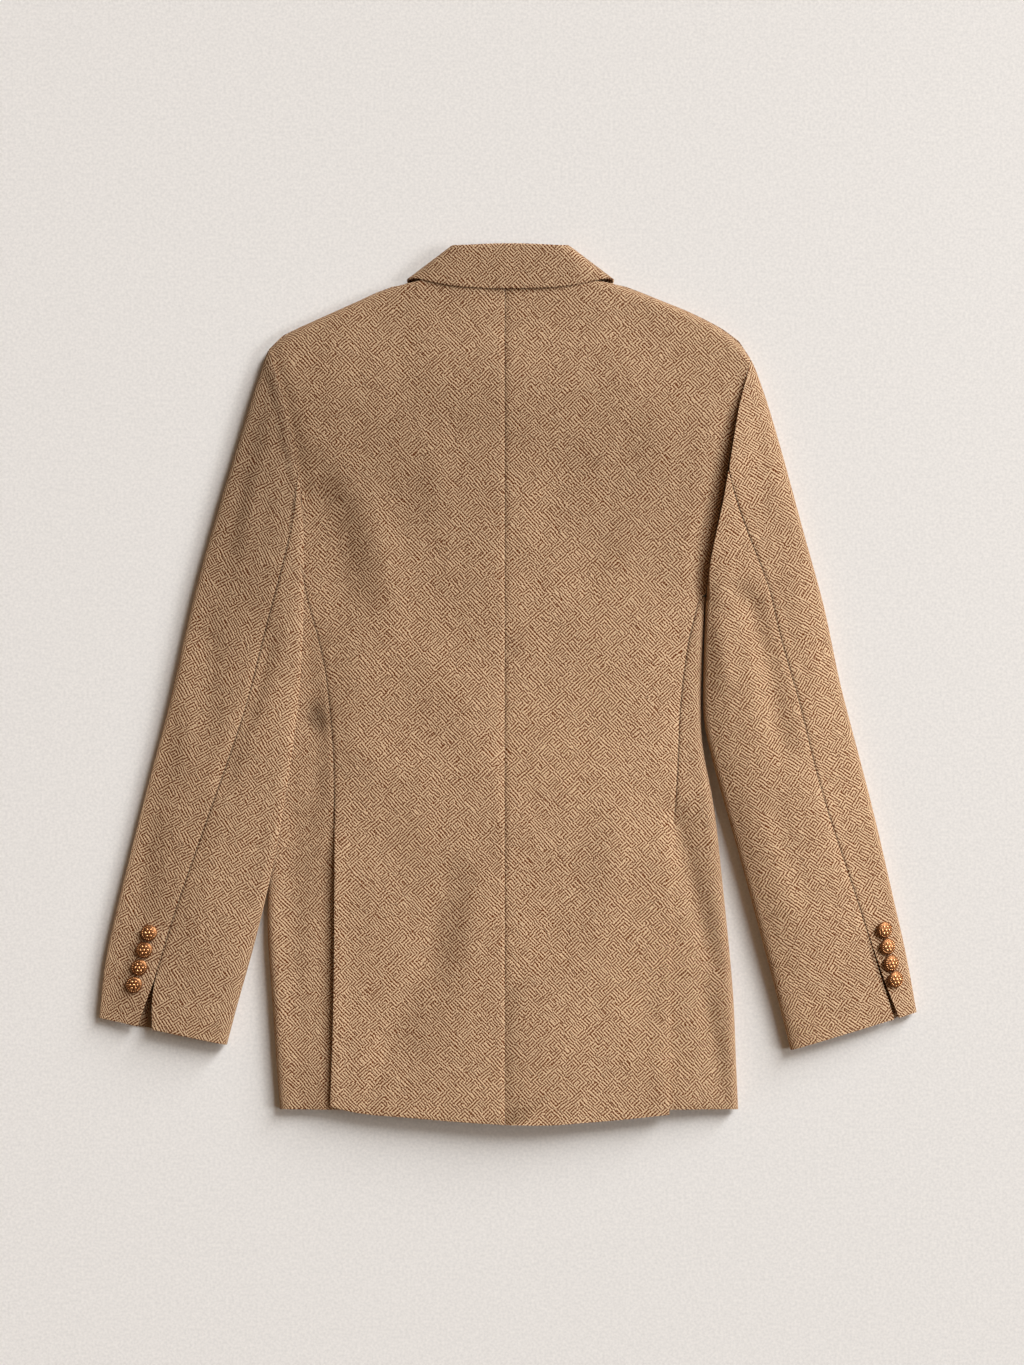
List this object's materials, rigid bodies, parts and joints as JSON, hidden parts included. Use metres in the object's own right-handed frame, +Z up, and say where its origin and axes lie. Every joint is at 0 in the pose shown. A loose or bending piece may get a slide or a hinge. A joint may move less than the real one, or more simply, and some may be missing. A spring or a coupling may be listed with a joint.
{
  "type": "double breasted blazer",
  "caption": "Double breasted wool blazer laid face down, with a turned collar, peaked lapels, side vents and set-in sleeves; open at neck, hem and cuffs.",
  "frame": {"origin": "on the ground under the middle of the blazer's outline", "axes": "+Y towards the collar, +X towards the wearer's right side, +Z up, away from the ground"},
  "size_m": [0.7382, 0.7943, 0.0256],
  "materials": {
    "wool_cloth": "woven wool in two tones, matt with a soft nap",
    "button_metal": "antique copper, relief polished on its high parts"
  },
  "bodies": {
    "root": {"back_left": "wool_cloth", "back_right": "wool_cloth", "collar_fall": "wool_cloth", "collar_stand": "wool_cloth", "cuff_button_left_1": "button_metal", "cuff_button_left_2": "button_metal", "cuff_button_left_3": "button_metal", "cuff_button_left_4": "button_metal", "cuff_button_right_1": "button_metal", "cuff_button_right_2": "button_metal", "cuff_button_right_3": "button_metal", "cuff_button_right_4": "button_metal", "front_button_1": "button_metal", "front_button_2": "button_metal", "front_button_3": "button_metal", "front_button_4": "button_metal", "front_button_5": "button_metal", "front_button_6": "button_metal", "front_left": "wool_cloth", "front_right": "wool_cloth", "lapel_left": "wool_cloth", "lapel_right": "wool_cloth", "side_left": "wool_cloth", "side_right": "wool_cloth", "sleeve_left_top": "wool_cloth", "sleeve_left_under": "wool_cloth", "sleeve_right_top": "wool_cloth", "sleeve_right_under": "wool_cloth"}
  },
  "joints": []
}
